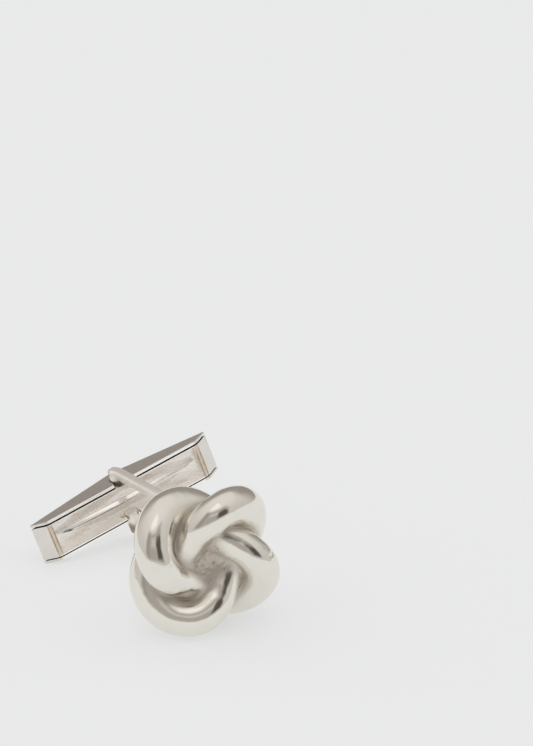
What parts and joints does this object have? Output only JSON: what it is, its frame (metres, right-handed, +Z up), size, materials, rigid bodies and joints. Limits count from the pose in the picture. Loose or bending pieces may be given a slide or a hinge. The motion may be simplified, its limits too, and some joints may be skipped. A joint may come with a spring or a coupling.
{
  "type": "knot cufflink",
  "caption": "Silver cufflink with a lobed rope knot on a U-shaped bridge and a swivel toggle of folded sheet, lying as it rests.",
  "frame": {"origin": "centre of the bounding box's bottom face, on the surface that the cufflink lies on", "axes": "+Z up, with the cufflink lying as it rests on two lobes of the knot and the lower end of the toggle; the knot's face towards -Y, tilted up by about 6 degrees; the toggle's long axis near X, its -X end low"},
  "size_m": [0.02, 0.0238, 0.014],
  "materials": {
    "silver": "polished silver with oxidised creases and fine wear, satin on the toggle and the bridge"
  },
  "bodies": {
    "front": {"knot_and_bridge": "silver"},
    "toggle": {"toggle_box": "silver", "leaf_spring": "silver"}
  },
  "joints": [
    {"name": "toggle_swivel", "type": "hinge", "parent": "front", "child": "toggle", "pos_m": [0, 0.00993, 0.00484], "axis": [-0.279, 0.1084, 0.9542], "range_deg": [-90, 90]}
  ]
}
